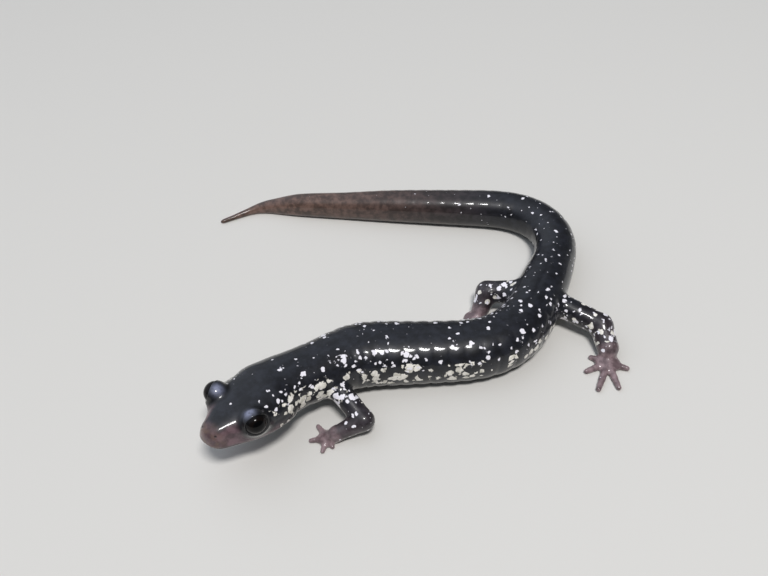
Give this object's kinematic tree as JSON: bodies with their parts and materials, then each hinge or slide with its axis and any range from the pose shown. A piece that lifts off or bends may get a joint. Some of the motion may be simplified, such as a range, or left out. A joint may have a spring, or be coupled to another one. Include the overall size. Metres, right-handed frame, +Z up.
{
  "type": "slimy salamander",
  "caption": "Life-size still model of a wet black salamander with pale flecks, head raised, body bent and tail swept round behind, resting on belly, feet and tail.",
  "frame": {"origin": "bottom centre of the bounding box, on the floor the animal rests on", "axes": "+Z up, +X along the longer side of the animal's footprint from the tail tip and snout towards the hips, +Y from the snout towards the tail's far sweep"},
  "size_m": [0.0708, 0.0606, 0.0114],
  "materials": {
    "skin": "wet glossy blue-black skin with small white flecks, and larger pale blotches low on the flanks",
    "jaw_skin": "wet glossy purplish grey-brown skin",
    "tail_skin": "wet glossy dark brown skin, almost without flecks",
    "foot_skin": "moist purplish grey skin",
    "eye": "wet black eye"
  },
  "bodies": {
    "root": {"head": "skin", "neck": "skin", "trunk_front": "skin", "trunk_middle": "skin", "trunk_rear": "skin", "hips": "skin", "tail_1": "skin", "tail_2": "skin", "tail_3": "skin", "upper_arm_left": "skin", "forearm_left": "skin", "upper_arm_right": "skin", "forearm_right": "skin", "thigh_left": "skin", "shin_left": "skin", "thigh_right": "skin", "shin_right": "skin", "lower_jaw": "jaw_skin", "tail_4": "tail_skin", "tail_5": "tail_skin", "tail_6": "tail_skin", "tail_7": "tail_skin", "hand_left": "foot_skin", "hand_right": "foot_skin", "foot_left": "foot_skin", "foot_right": "foot_skin", "eye_left": "eye", "eye_right": "eye"}
  },
  "joints": []
}
